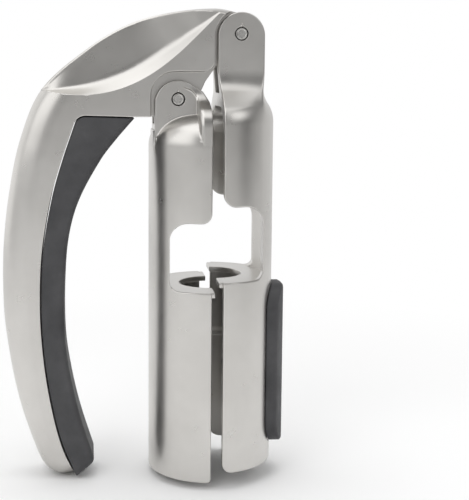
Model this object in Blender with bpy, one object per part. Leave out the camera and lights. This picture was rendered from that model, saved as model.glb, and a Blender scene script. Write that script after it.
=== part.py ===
import math

import bmesh
import bpy
from mathutils import Matrix, Vector

# Champagne opener: two half-shell jaws that close round the bottle's neck, hung on a cranked lever.
# Sizes are in metres. They are set out from the axis of the closed jaws and the foot of the front jaw:
# x runs from the handle to the rear jaw, y from front to back, and z up.

CLEARANCE = 0.0003

# Pivots of the lever: the rear jaw hangs on the upper one and the front jaw on the lower one
UPPER_PIVOT_Z = 0.1318
LOWER_PIVOT_Z = 0.1128
PIN_RADIUS = 0.0017
PIN_HEAD_RADIUS = 0.0027
PIN_HEAD_HEIGHT = 0.0013
PIN_RECESS = 0.0002
BORE_FLARE = 0.0003
KEY_NOTCH_WIDTH = 0.0013
KEY_NOTCH_HEIGHT = 0.0011
KEY_NOTCH_DEPTH = 0.0007

# Fork ears of both jaws
EAR_HALF_WIDTH = 0.0075
EAR_THICKNESS = 0.0029
EAR_RADIUS = 0.0069
REAR_EAR_INSET = 0.0037
FRONT_EAR_INSET = 0.0014
REAR_EAR_DROP = 0.0006
FRONT_EAR_DROP = 0.0014

# Shells of both jaws
SHELL_RADIUS = 0.0187
SHELL_WALL = 0.0022
THROAT_RADIUS = 0.0094
ROOF_DRAW_IN = 0.0095
ROOF_RISE = 0.009
LEDGE_THICKNESS = 0.0016
LEDGE_REACH = 0.0011
RIB_HEIGHT = 0.0012
RIB_WIDTH = 0.0016
RIB_BELOW_LEDGE = 0.0225

# The ears lie inside the shells' sides
UPPER_PIVOT_X = SHELL_RADIUS - REAR_EAR_INSET - EAR_RADIUS
LOWER_PIVOT_X = FRONT_EAR_INSET + EAR_RADIUS - SHELL_RADIUS

# Rear jaw
REAR_MATING_X = 0.002
REAR_FOOT_Z = 0.0029
REAR_FOOT_CORNER = 0.003
REAR_LEDGE_Z = 0.06
REAR_STRIP_WIDTH = 0.0045
REAR_WINDOW_TOP_Z = 0.0819
REAR_WINDOW_CORNER = 0.006
REAR_LIP_CORNER = 0.004
REAR_SHOULDER_Z = 0.1089
REAR_SHOULDER_CURVE = 0.0077
REAR_NECK_Z = 0.1141
REAR_NECK_CURVE = 0.0114
REAR_BACK_SHOULDER_Z = 0.1088
REAR_BACK_NECK_Z = 0.1142
REAR_BACK_CURVE = 0.0092
REAR_ROOF_Z = 0.1105
REAR_FORK_Z = 0.1145

# Front jaw
FRONT_MATING_X = -0.0014
FRONT_FOOT_CORNER = 0.0013
FRONT_LEDGE_Z = 0.057
FRONT_STRIP_WIDTH = 0.0055
FRONT_WINDOW_TOP_Z = 0.0772
FRONT_WINDOW_CORNER = 0.0055
FRONT_LIP_CORNER = 0.003
DOME_SPRING_Z = 0.099
DOME_TOP_Z = 0.1082
DOME_TOP_RADIUS = 0.0086
RIM_WIDTH = 0.0035
RIM_SHOULDER_Z = 0.11
RIM_NECK_Z = 0.1119
RIM_CURVE = 0.006
RIM_RISE = 0.006
RIM_TOP_RISE = 0.005
FRONT_ROOF_Z = 0.102
FRONT_FORK_Z = 0.1053
WINDOW_FOOT_CORNER = 0.0025

# Rubber pad on the rear jaw's back
PAD_FOOT_Z = 0.0079
PAD_TOP_Z = 0.057
PAD_HALF_WIDTH = 0.0093
PAD_PROUD = 0.0038
PAD_CROWN_RADIUS = 0.0155
PAD_CORNER = 0.007
PAD_EDGE = 0.0012
PAD_RECESS = 0.0006
PEG_RADIUS = 0.0018
PEG_INSET = 0.011

# Lever
TONGUE_RADIUS = 0.0063
LOWER_LOBE_RADIUS = 0.0073
LEVER_HALF_WIDTH = 0.008
BACK_ROUNDING = 0.009
TIP_ROUNDING = 0.005
TIP_TAPER_Z = 0.04
CHEEK_GAP = 0.00085
CHEEK_CORNER = 0.007
UNDERSIDE_Z = 0.1076
RIDGE_HALF_WIDTH = 0.0005
FACET_SAG = 0.0092
FACET_SKEW = 1.25
FACET_HOLLOW = 0.5
FACET_ENDS = (0.0041, -0.0513)

# Lever's ridge and back, seen from the front, from above the upper pivot round to the handle's tip
BACK_POINTS = [
    (UPPER_PIVOT_X, 0.1381), (0.0011, 0.1394), (-0.0122, 0.1382), (-0.0245, 0.1348), (-0.0368, 0.1277),
    (-0.0506, 0.1156), (-0.0571, 0.1009), (-0.0606, 0.0850), (-0.0624, 0.0700), (-0.0628, 0.0550),
    (-0.0621, 0.0430), (-0.0588, 0.0235), (-0.0538, 0.0073), (-0.0505, 0.0007), (-0.0462, -0.0019),
    (-0.0412, -0.0014),
]
# Seam between the handle and its grip, from the tip up to the lever's underside
SEAM_POINTS = [
    (-0.0412, -0.0014), (-0.0456, 0.0094), (-0.0488, 0.0232), (-0.0507, 0.0371), (-0.0514, 0.0510),
    (-0.0507, 0.0676), (-0.0479, 0.0840), (-0.0449, 0.0944), (-0.0420, 0.1028),
]
# Finger side of the grip, from its top down to its foot
GRIP_POINTS = [
    (-0.0231, 0.1073), (-0.0286, 0.1010), (-0.0333, 0.0948), (-0.0398, 0.0827), (-0.0428, 0.0717),
    (-0.0441, 0.0565), (-0.0440, 0.0410), (-0.0425, 0.0299), (-0.0398, 0.0177), (-0.0353, 0.0032),
]
SEAM_CORNER = 0.0037
GRIP_HALF_WIDTH = 0.0077
GRIP_EDGE = 0.0019
GRIP_FOOT_Z = -0.0016
GRIP_FOOT_CORNER = 0.0024
RIB_HALF_WIDTH = 0.0026
GRIP_RIB_DEPTH = 0.002
GRIP_RIB_FOOT_Z = 0.014
GRIP_RIB_TOP_Z = 0.096

# Fineness
RING_STEP = 7.5
CAVITY_SEGMENTS = 48
ARC_STEPS = 5
CURVE_STEP = 0.0035

UPPER_PIVOT = Vector((UPPER_PIVOT_X, 0, UPPER_PIVOT_Z))
LOWER_PIVOT = Vector((LOWER_PIVOT_X, 0, LOWER_PIVOT_Z))
EAR_INSIDE = EAR_HALF_WIDTH - EAR_THICKNESS
TONGUE_HALF_WIDTH = EAR_INSIDE - CLEARANCE
BORE_RADIUS = PIN_RADIUS + CLEARANCE
CAVITY_RADIUS = SHELL_RADIUS - SHELL_WALL
REAR_WINDOW_X = SHELL_RADIUS - REAR_STRIP_WIDTH
FRONT_WINDOW_X = FRONT_STRIP_WIDTH - SHELL_RADIUS
BELOW_FOOT = 0.01
FAR = 0.03


def clear_scene():
    for obj in list(bpy.data.objects):
        bpy.data.objects.remove(obj)


def make_material(name, colour, roughness, metallic):
    material = bpy.data.materials.new(name)
    material.use_nodes = True
    shader = material.node_tree.nodes["Principled BSDF"]
    shader.inputs["Base Color"].default_value = (*colour, 1)
    shader.inputs["Roughness"].default_value = roughness
    shader.inputs["Metallic"].default_value = metallic
    return material


# Outlines: lists of (x, z) points

def arc(centre, radius, start, end, steps=2 * ARC_STEPS):
    angles = [math.radians(start + (end - start) * i / steps) for i in range(steps + 1)]
    return [(centre[0] + radius * math.cos(a), centre[1] + radius * math.sin(a)) for a in angles]


def rounded(corners, closed=True):
    # Each corner is (x, z, radius)
    points = []
    for i, (x, z, radius) in enumerate(corners):
        here = Vector((x, z))
        if radius == 0 or (not closed and i in (0, len(corners) - 1)):
            points.append((x, z))
            continue
        before = (Vector(corners[i - 1][:2]) - here).normalized()
        after = (Vector(corners[(i + 1) % len(corners)][:2]) - here).normalized()
        half = before.angle(after) / 2
        centre = here + (before + after).normalized() * radius / math.sin(half)
        start = here + before * radius / math.tan(half) - centre
        end = here + after * radius / math.tan(half) - centre
        start_angle = math.atan2(start.y, start.x)
        sweep = math.remainder(math.atan2(end.y, end.x) - start_angle, math.tau)
        for step in range(ARC_STEPS + 1):
            angle = start_angle + sweep * step / ARC_STEPS
            points.append((centre.x + radius * math.cos(angle), centre.y + radius * math.sin(angle)))
    return points


def smooth_curve(points, step=CURVE_STEP):
    # A cubic through every point, with its speed in proportion to the chords
    points = [Vector(p) for p in points]
    chords = [(b - a).length for a, b in zip(points, points[1:])]
    slopes = []
    for i in range(len(points)):
        first, last = max(i - 1, 0), min(i + 1, len(points) - 1)
        slopes.append((points[last] - points[first]) / sum(chords[first:last]))
    curve = []
    for i, chord in enumerate(chords):
        count = max(1, round(chord / step))
        for j in range(count):
            t = j / count
            curve.append(
                points[i] * (2 * t**3 - 3 * t**2 + 1) + slopes[i] * chord * (t**3 - 2 * t**2 + t)
                + points[i + 1] * (3 * t**2 - 2 * t**3) + slopes[i + 1] * chord * (t**3 - t**2)
            )
    curve.append(points[-1])
    return [(p.x, p.y) for p in curve]


def normals_of(points):
    # Unit normals on the left of an open curve
    normals = []
    for i in range(len(points)):
        before, after = Vector(points[max(i - 1, 0)]), Vector(points[min(i + 1, len(points) - 1)])
        along = (after - before).normalized()
        normals.append(Vector((-along.y, along.x)))
    return normals


def beside(points, distance):
    # The open curve moved to its left
    return [(x + n.x * distance, z + n.y * distance) for (x, z), n in zip(points, normals_of(points))]


def height_at(profile, z, reach=0):
    # Where a profile of (reach, z) points, climbing in z, stands at height z
    for (r0, z0), (r1, z1) in zip(profile, profile[1:]):
        if z0 <= z <= z1:
            return r0 + (r1 - r0) * (z - z0) / max(z1 - z0, 1e-9)
    return profile[0][0] if z < profile[0][1] else profile[-1][0]


def frame_shift():
    # Puts the middle of the opener's foot at the origin. The handle's tip reaches lowest.
    back = smooth_curve(BACK_POINTS)
    handle_reach = -min(x for x, z in back)
    return Vector(((handle_reach - SHELL_RADIUS - PAD_PROUD) / 2, 0, -min(z for x, z in back)))


# Solids, set out from the jaws' axis

def add_object(name, bm):
    bmesh.ops.remove_doubles(bm, verts=bm.verts, dist=1e-7)
    bmesh.ops.recalc_face_normals(bm, faces=bm.faces)
    mesh = bpy.data.meshes.new(name)
    bm.to_mesh(mesh)
    bm.free()
    obj = bpy.data.objects.new(name, mesh)
    bpy.context.collection.objects.link(obj)
    return obj


def prism(name, outline, low_y, high_y):
    bm = bmesh.new()
    face = bm.faces.new([bm.verts.new((x, low_y, z)) for x, z in outline])
    sides = bmesh.ops.extrude_face_region(bm, geom=[face])
    moved = [v for v in sides["geom"] if isinstance(v, bmesh.types.BMVert)]
    bmesh.ops.translate(bm, verts=moved, vec=(0, high_y - low_y, 0))
    return add_object(name, bm)


def turned(name, profile, segments=CAVITY_SEGMENTS, centre=Vector(), axis=Vector((0, 0, 1))):
    # A profile of (radius, height) points along the axis, from one end on the axis to the other
    across = Vector((1, 0, 0))
    bm = bmesh.new()
    points = [bm.verts.new(centre + across * r + axis * h) for r, h in profile]
    edges = [bm.edges.new(pair) for pair in zip(points, points[1:])]
    bmesh.ops.spin(
        bm, geom=points + edges, cent=centre, axis=axis, angle=math.tau, steps=segments,
        use_merge=True, use_duplicate=False,
    )
    return add_object(name, bm)


def loft(name, rings):
    bm = bmesh.new()
    loops = [[bm.verts.new(point) for point in ring] for ring in rings]
    for low, high in zip(loops, loops[1:]):
        for i in range(len(low)):
            j = (i + 1) % len(low)
            bm.faces.new((low[i], low[j], high[j], high[i]))
    bm.faces.new(loops[0])
    bm.faces.new(loops[-1])
    return add_object(name, bm)


def rimmed_plate(name, rims, rest, half_width):
    # A flat-sided plate. Each rim is the plate's edge at one point of its contour, as (x, z, y) points
    # from the middle out to the flat side, and the rest of the outline is square-edged.
    bm = bmesh.new()
    sections = []
    for rim in rims:
        front = [bm.verts.new((x, -y, z)) for x, z, y in reversed(rim)]
        back = [bm.verts.new((x, y, z)) for x, z, y in rim]
        sections.append(front + back)
    sides = [[bm.verts.new((x, y, z)) for x, z in rest] for y in (-half_width, half_width)]
    for one, other in zip(sections, sections[1:]):
        for i in range(len(one) - 1):
            bm.faces.new((one[i], one[i + 1], other[i + 1], other[i]))
    front = [s[0] for s in sections] + sides[0]
    back = [s[-1] for s in sections] + sides[1]
    bm.faces.new(front)
    bm.faces.new(back)
    start = len(sections) - 1
    for i in range(start, len(front)):
        j = (i + 1) % len(front)
        if i > start and j != 0:
            bm.faces.new((front[i], front[j], back[j], back[i]))
    bm.faces.new(sections[-1] + [back[start + 1], front[start + 1]])
    bm.faces.new(sections[0] + [back[-1], front[-1]])
    return add_object(name, bm)


def combine(body, tool, operation):
    modifier = body.modifiers.new(tool.name, "BOOLEAN")
    modifier.operation = operation
    modifier.object = tool
    modifier.solver = "EXACT"
    tool.parent = body
    tool.hide_render = True
    tool.display_type = "WIRE"


def cut(body, *tools):
    for tool in tools:
        combine(body, tool, "DIFFERENCE")


def join(body, *tools):
    for tool in tools:
        combine(body, tool, "UNION")


def trim(body, tool):
    combine(body, tool, "INTERSECT")


def seat(body, pivot, parent=None):
    # Puts the object's origin on its joint, with its cutters, and hangs it on its parent
    for obj in [body, *body.children_recursive]:
        obj.data.transform(Matrix.Translation(-pivot))
    body["pivot"] = pivot
    body.parent = parent
    body.location = pivot - Vector(parent["pivot"]) if parent else pivot + frame_shift()


def finish(body, material):
    body.data.materials.append(material)
    body.data.shade_smooth()
    body.data.set_sharp_from_angle(angle=math.radians(35))


def mirrored(obj, name):
    # The same shape on the other side of the opener's middle plane
    bm = bmesh.new()
    bm.from_mesh(obj.data)
    bmesh.ops.scale(bm, verts=bm.verts, vec=(1, -1, 1))
    bmesh.ops.reverse_faces(bm, faces=bm.faces)
    return add_object(name, bm)


# Features that both jaws share

def pin_bore(name, pivot):
    face = EAR_HALF_WIDTH
    flare = BORE_RADIUS + BORE_FLARE
    profile = [
        (0, -2 * face), (flare, -2 * face), (flare, -face), (BORE_RADIUS, -face + BORE_FLARE),
        (BORE_RADIUS, 2 * face), (0, 2 * face),
    ]
    return turned(name, profile, 24, pivot, Vector((0, 1, 0)))


def key_notch(name, pivot):
    foot = pivot.z + BORE_RADIUS - KEY_NOTCH_HEIGHT / 2
    half = KEY_NOTCH_WIDTH / 2
    outline = [
        (pivot.x - half, foot), (pivot.x + half, foot),
        (pivot.x, pivot.z + BORE_RADIUS + KEY_NOTCH_HEIGHT),
    ]
    return prism(name, outline, -2 * EAR_HALF_WIDTH, KEY_NOTCH_DEPTH - EAR_HALF_WIDTH)


def fork_slot(name, floor_z, top_z):
    outline = [(-FAR, floor_z), (FAR, floor_z), (FAR, top_z), (-FAR, top_z)]
    return prism(name, outline, -EAR_INSIDE, EAR_INSIDE)


def cavity(name, ledge_z, roof_z, foot_z):
    # Room for the bottle's mouth and the cork, with a rib that catches under the mouth's collar
    rib_z = ledge_z - RIB_BELOW_LEDGE
    rib_radius = CAVITY_RADIUS - RIB_HEIGHT
    dome = [
        (CAVITY_RADIUS - ROOF_DRAW_IN * (1 - math.cos(a)), roof_z - ROOF_RISE * (1 - math.sin(a)))
        for a in map(math.radians, (90, 66, 44, 22, 0))
    ]
    profile = [(0, roof_z)] + dome + [
        (CAVITY_RADIUS, rib_z + RIB_WIDTH), (rib_radius, rib_z + RIB_WIDTH / 2), (rib_radius, rib_z),
        (CAVITY_RADIUS, rib_z - RIB_WIDTH / 2), (CAVITY_RADIUS, foot_z - BELOW_FOOT), (0, foot_z - BELOW_FOOT),
    ]
    return turned(name, profile)


def ledge(name, top_z, end_x, side):
    # Half ring under the cork's head. side is 1 for the rear jaw and -1 for the front one.
    outside = SHELL_RADIUS - SHELL_WALL / 2
    outer = math.degrees(math.acos(abs(end_x) / outside))
    inner = math.degrees(math.acos(abs(end_x) / THROAT_RADIUS))
    if end_x * side < 0:
        outer, inner = 180 - outer, 180 - inner
    outline = arc((0, 0), outside, -outer, outer, 20) + arc((0, 0), THROAT_RADIUS, inner, -inner, 14)
    bm = bmesh.new()
    face = bm.faces.new([bm.verts.new((side * x, y, top_z - LEDGE_THICKNESS)) for x, y in outline])
    sides = bmesh.ops.extrude_face_region(bm, geom=[face])
    moved = [v for v in sides["geom"] if isinstance(v, bmesh.types.BMVert)]
    bmesh.ops.translate(bm, verts=moved, vec=(0, 0, LEDGE_THICKNESS))
    return add_object(name, bm)


# Rear jaw

def rear_jaw_form():
    # Half round below, drawn in over the shoulder to the flat-sided fork above
    ear_x = UPPER_PIVOT_X + EAR_RADIUS
    top_z = UPPER_PIVOT_Z + EAR_RADIUS
    side = rounded(
        [
            (SHELL_RADIUS, REAR_FOOT_Z, 0), (SHELL_RADIUS, REAR_SHOULDER_Z, REAR_SHOULDER_CURVE),
            (EAR_HALF_WIDTH, REAR_NECK_Z, REAR_NECK_CURVE), (EAR_HALF_WIDTH, top_z, 0),
        ],
        closed=False,
    )
    back = rounded(
        [
            (SHELL_RADIUS, REAR_FOOT_Z, 0), (SHELL_RADIUS, REAR_BACK_SHOULDER_Z, REAR_BACK_CURVE),
            (ear_x, REAR_BACK_NECK_Z, REAR_BACK_CURVE), (ear_x, top_z, 0),
        ],
        closed=False,
    )
    corner = math.radians(5 * RING_STEP)
    steps = round(90 / RING_STEP)
    rings = []
    for z in sorted({round(z, 6) for _, z in side + back}):
        half_y, reach_x = height_at(side, z), height_at(back, z)
        squareness = (SHELL_RADIUS - half_y) / (SHELL_RADIUS - EAR_HALF_WIDTH)
        ring = [(-FAR / 6, -half_y, z)]
        for i in range(-steps, steps + 1):
            angle = math.radians(i * RING_STEP)
            square_x = min(1, math.cos(angle) / math.cos(corner))
            square_y = max(-1, min(1, math.sin(angle) / math.sin(corner)))
            x = reach_x * (math.cos(angle) * (1 - squareness) + square_x * squareness)
            y = half_y * (math.sin(angle) * (1 - squareness) + square_y * squareness)
            ring.append((x, y, z))
        ring.append((-FAR / 6, half_y, z))
        rings.append(ring)
    return loft("rear_jaw", rings)


def rear_jaw_outline():
    ear = (UPPER_PIVOT_X, UPPER_PIVOT_Z - REAR_EAR_DROP)
    window = [
        (REAR_MATING_X, REAR_LEDGE_Z, 0), (REAR_WINDOW_X, REAR_LEDGE_Z, WINDOW_FOOT_CORNER),
        (REAR_WINDOW_X, REAR_WINDOW_TOP_Z, REAR_WINDOW_CORNER),
        (REAR_MATING_X, REAR_WINDOW_TOP_Z, REAR_LIP_CORNER),
    ]
    neck = [(REAR_MATING_X, REAR_FORK_Z, 0), (ear[0] - EAR_RADIUS, REAR_FORK_Z + EAR_RADIUS, 0)]
    edge = [(FAR, REAR_FOOT_Z, 0), (REAR_MATING_X, REAR_FOOT_Z, REAR_FOOT_CORNER)] + window + neck
    return rounded(edge + [(ear[0] - EAR_RADIUS, ear[1], 0)])[:-1] + arc(ear, EAR_RADIUS, 180, 0) + [(FAR, ear[1])]


def make_rear_jaw():
    jaw = rear_jaw_form()
    trim(jaw, prism("rear_jaw_outline", rear_jaw_outline(), -FAR, FAR))
    cut(jaw, cavity("rear_jaw_cavity", REAR_LEDGE_Z, REAR_ROOF_Z, REAR_FOOT_Z))
    join(jaw, ledge("rear_jaw_ledge", REAR_LEDGE_Z, REAR_MATING_X - LEDGE_REACH, 1))
    cut(jaw, fork_slot("rear_jaw_fork", REAR_FORK_Z, UPPER_PIVOT_Z + 2 * EAR_RADIUS))
    cut(jaw, pin_bore("rear_jaw_bore", UPPER_PIVOT), key_notch("rear_jaw_notch", UPPER_PIVOT))
    cut(jaw, pad_recess())
    cut(jaw, *(pad_peg(f"rear_jaw_peg_hole_{i}", z, CLEARANCE) for i, z in enumerate(peg_heights())))
    return jaw


# Pad

def peg_heights():
    return PAD_FOOT_Z + PEG_INSET, PAD_TOP_Z - PEG_INSET


def pad_outline(margin):
    half = PAD_HALF_WIDTH + margin
    low, high = PAD_FOOT_Z - margin, PAD_TOP_Z + margin
    return rounded([
        (-half, low, PAD_CORNER), (half, low, PAD_CORNER), (half, high, PAD_CORNER), (-half, high, PAD_CORNER),
    ])


def pad_block(name, outline, near_x, far_x):
    bm = bmesh.new()
    face = bm.faces.new([bm.verts.new((near_x, y, z)) for y, z in outline])
    sides = bmesh.ops.extrude_face_region(bm, geom=[face])
    moved = [v for v in sides["geom"] if isinstance(v, bmesh.types.BMVert)]
    bmesh.ops.translate(bm, verts=moved, vec=(far_x - near_x, 0, 0))
    return add_object(name, bm)


def standing_tube(name, centre_x, radius, low_z, high_z):
    profile = [(0, low_z), (radius, low_z), (radius, high_z), (0, high_z)]
    return turned(name, profile, 72, Vector((centre_x, 0, 0)))


def pad_recess():
    recess = pad_block("rear_jaw_pad_recess", pad_outline(CLEARANCE), CAVITY_RADIUS / 2, 2 * SHELL_RADIUS)
    floor = standing_tube("rear_jaw_recess_floor", 0, SHELL_RADIUS - PAD_RECESS, -FAR, 0.1)
    cut(recess, floor)
    return recess


def pad_peg(name, z, margin):
    near_x = CAVITY_RADIUS - margin * 10
    profile = [(0, near_x), (PEG_RADIUS + margin, near_x), (PEG_RADIUS + margin, SHELL_RADIUS), (0, SHELL_RADIUS)]
    bm = bmesh.new()
    points = [bm.verts.new((x, r, z)) for r, x in profile]
    edges = [bm.edges.new(pair) for pair in zip(points, points[1:])]
    bmesh.ops.spin(
        bm, geom=points + edges, cent=(0, 0, z), axis=(1, 0, 0), angle=math.tau, steps=16,
        use_merge=True, use_duplicate=False,
    )
    return add_object(name, bm)


def make_pad():
    seat_radius = SHELL_RADIUS - PAD_RECESS + CLEARANCE
    pad = pad_block("rear_jaw_pad", pad_outline(0), CAVITY_RADIUS / 2, 2 * SHELL_RADIUS)
    crown_x = SHELL_RADIUS + PAD_PROUD - PAD_CROWN_RADIUS
    crown = turned(
        "pad_crown",
        rounded(
            [
                (0, PAD_TOP_Z + 0.001, 0), (PAD_CROWN_RADIUS - PAD_EDGE, PAD_TOP_Z + 0.0001, 0),
                (PAD_CROWN_RADIUS, PAD_TOP_Z - PAD_EDGE, 0), (PAD_CROWN_RADIUS, PAD_FOOT_Z + PAD_EDGE, 0),
                (PAD_CROWN_RADIUS - PAD_EDGE, PAD_FOOT_Z - 0.0001, 0), (0, PAD_FOOT_Z - 0.001, 0),
            ],
            closed=False,
        ),
        72,
        Vector((crown_x, 0, 0)),
    )
    trim(pad, crown)
    cut(pad, standing_tube("pad_seat", 0, seat_radius, -FAR, 0.1))
    join(pad, *(pad_peg(f"pad_peg_{i}", z, 0) for i, z in enumerate(peg_heights())))
    return pad


# Front jaw

def front_ear_centre():
    return LOWER_PIVOT_X, LOWER_PIVOT_Z - FRONT_EAR_DROP


def dome_height(radius):
    share = (radius - DOME_TOP_RADIUS) / (SHELL_RADIUS - DOME_TOP_RADIUS)
    return DOME_SPRING_Z + (DOME_TOP_Z - DOME_SPRING_Z) * math.sqrt(1 - share**2)


def front_jaw_outline():
    ear_x, ear_z = front_ear_centre()
    shoulder_z = dome_height(EAR_RADIUS - ear_x)
    corners = [
        (-FAR, 0, 0), (FRONT_MATING_X, 0, FRONT_FOOT_CORNER), (FRONT_MATING_X, FRONT_LEDGE_Z, 0),
        (FRONT_WINDOW_X, FRONT_LEDGE_Z, WINDOW_FOOT_CORNER),
        (FRONT_WINDOW_X, FRONT_WINDOW_TOP_Z, FRONT_WINDOW_CORNER),
        (FRONT_MATING_X, FRONT_WINDOW_TOP_Z, FRONT_LIP_CORNER),
        (FRONT_MATING_X, RIM_NECK_Z, RIM_CURVE / 3),
        (FRONT_MATING_X - RIM_WIDTH / 2, RIM_NECK_Z + 0.8 * RIM_WIDTH, RIM_CURVE / 3),
    ]
    tail = [(ear_x - EAR_RADIUS, shoulder_z), (-FAR, shoulder_z)]
    ear = arc((ear_x, ear_z), EAR_RADIUS, 52, 180)
    return rounded(corners + [(ear[0][0], ear[0][1], 0)])[:-1] + ear + tail


def make_front_jaw():
    draw_in = SHELL_RADIUS - DOME_TOP_RADIUS
    reaches = [DOME_TOP_RADIUS + draw_in * math.cos(math.radians(a)) for a in range(90, -1, -15)]
    dome_arc = [(reach, dome_height(reach)) for reach in reaches]
    jaw = turned("front_jaw", [(0, DOME_TOP_Z)] + dome_arc + [(SHELL_RADIUS, -0.001), (0, -0.001)], 48)
    inside = SHELL_RADIUS - 0.00004
    rim_profile = rounded(
        [
            (0, RIM_NECK_Z + RIM_RISE, 0), (EAR_HALF_WIDTH - CLEARANCE, RIM_NECK_Z + RIM_TOP_RISE, 0),
            (EAR_HALF_WIDTH, RIM_NECK_Z, RIM_CURVE / 2), (inside, RIM_SHOULDER_Z, RIM_CURVE),
            (inside, DOME_SPRING_Z - RIM_RISE, 0), (0, DOME_SPRING_Z - RIM_RISE, 0),
        ],
        closed=False,
    )
    rim = turned("front_jaw_rim", rim_profile, 48)
    rim_side_x = FRONT_MATING_X - RIM_WIDTH
    trim(rim, prism(
        "front_jaw_rim_width",
        rounded([
            (rim_side_x, 0.09, 0), (rim_side_x, RIM_NECK_Z, RIM_CURVE / 2),
            (rim_side_x - RIM_WIDTH, RIM_NECK_Z + RIM_WIDTH, 0), (0, RIM_NECK_Z + RIM_WIDTH, 0), (0, 0.09, 0),
        ]),
        -FAR, FAR,
    ))
    ear_x, ear_z = front_ear_centre()
    slab = arc((ear_x, ear_z), EAR_RADIUS + 0.0005, -6, 186, 12)
    left, right = ear_x - EAR_RADIUS - 0.0005, ear_x + EAR_RADIUS + 0.0005
    foot_z = FRONT_ROOF_Z - 0.004
    ears = prism(
        "front_jaw_ears", [(right, foot_z)] + slab + [(left, foot_z)], -EAR_HALF_WIDTH, EAR_HALF_WIDTH,
    )
    trim(ears, standing_tube("front_jaw_ear_width", 0, inside, foot_z - 0.001, LOWER_PIVOT_Z + 2 * EAR_RADIUS))
    join(jaw, rim, ears)
    trim(jaw, prism("front_jaw_outline", front_jaw_outline(), -FAR, FAR))
    cut(jaw, cavity("front_jaw_cavity", FRONT_LEDGE_Z, FRONT_ROOF_Z, 0))
    join(jaw, ledge("front_jaw_ledge", FRONT_LEDGE_Z, FRONT_MATING_X + LEDGE_REACH, -1))
    cut(jaw, fork_slot("front_jaw_fork", FRONT_FORK_Z, LOWER_PIVOT_Z + 2 * EAR_RADIUS))
    cut(jaw, pin_bore("front_jaw_bore", LOWER_PIVOT), key_notch("front_jaw_notch", LOWER_PIVOT))
    return jaw


# Lever

def handle_back():
    return smooth_curve(BACK_POINTS)


def seam():
    # From the handle's tip up and round the inner corner to the lever's underside
    curve = smooth_curve(SEAM_POINTS)
    (x0, z0), (x1, z1) = curve[-2:]
    roof_z = UNDERSIDE_Z + 0.0005
    corner_x = x1 + (x1 - x0) * (roof_z - z1) / (z1 - z0)
    bend = rounded([(*curve[-1], 0), (corner_x, roof_z, SEAM_CORNER), (GRIP_POINTS[0][0], UNDERSIDE_Z, 0)], False)
    return curve[:-1] + bend


def lever_blade():
    # The back is rounded over the whole width, more shallowly at the tip
    contour = handle_back()
    normals = normals_of(contour)
    normals[0] = Vector((0, -1))
    seam_curve = seam()
    normals[-1] = (Vector(seam_curve[1]) - Vector(seam_curve[0])).normalized()
    rims = []
    for (x, z), n in zip(contour, normals):
        share = max(0, min(1, z / TIP_TAPER_Z)) if x < LOWER_PIVOT_X else 1
        depth = TIP_ROUNDING + (BACK_ROUNDING - TIP_ROUNDING) * share
        rim = []
        for angle in (2, 15, 30, 45, 60, 75, 90):
            across = math.radians(angle)
            inward = depth * (1 - math.cos(across))
            rim.append((x + n.x * inward, z + n.y * inward, LEVER_HALF_WIDTH * math.sin(across)))
        rims.append(rim)
    inner = [p for p in seam_curve if p[1] > rims[-1][-1][1] + 0.001]
    inner += [
        (LOWER_PIVOT_X, UNDERSIDE_Z), (LOWER_PIVOT_X + TONGUE_RADIUS / 2, LOWER_PIVOT_Z),
        (UPPER_PIVOT_X - 1.2 * TONGUE_RADIUS, UPPER_PIVOT_Z - 1.4 * TONGUE_RADIUS),
    ]
    return rimmed_plate("lever_body", rims, inner, LEVER_HALF_WIDTH)


def tongue():
    upper = (UPPER_PIVOT_X, UPPER_PIVOT_Z)
    lower = (LOWER_PIVOT_X, LOWER_PIVOT_Z)
    outline = arc(upper, TONGUE_RADIUS, 90, -125, 12)
    outline += [(upper[0] - 0.0078, upper[1] - 0.0104), (lower[0] + 0.0083, lower[1] + 0.0052)]
    outline += arc(lower, LOWER_LOBE_RADIUS, 18, -46, 5)
    outline += [(lower[0] - 0.003, UNDERSIDE_Z - 0.00015), (lower[0] - 0.006, UNDERSIDE_Z + 0.001),
                (lower[0] - 0.003, lower[1] + 0.012), (upper[0] - 0.009, upper[1] + 0.003)]
    return prism("lever_tongue", outline, -TONGUE_HALF_WIDTH, TONGUE_HALF_WIDTH)


def ear_recess(name, near_y, far_y):
    # Step that leaves the tongue thin and stands a little clear of both ears
    ear_x, ear_z = front_ear_centre()
    left = ear_x - EAR_RADIUS - CHEEK_GAP - CLEARANCE
    roof = ear_z + EAR_RADIUS + 3 * CHEEK_GAP
    right = UPPER_PIVOT_X - EAR_RADIUS - CHEEK_GAP
    upper = (UPPER_PIVOT_X, UPPER_PIVOT_Z - REAR_EAR_DROP)
    path = rounded([
        (left, ear_z - 0.03, 0), (left, roof, CHEEK_CORNER), (right, roof, CHEEK_CORNER / 2), (right, upper[1], 0),
    ], closed=False)
    path += arc(upper, EAR_RADIUS + CHEEK_GAP, 180, 90)[1:]
    outline = path + [(upper[0], upper[1] + FAR), (FAR, upper[1] + FAR), (FAR, ear_z - 0.03)]
    return prism(name, outline, near_y, far_y)


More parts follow.
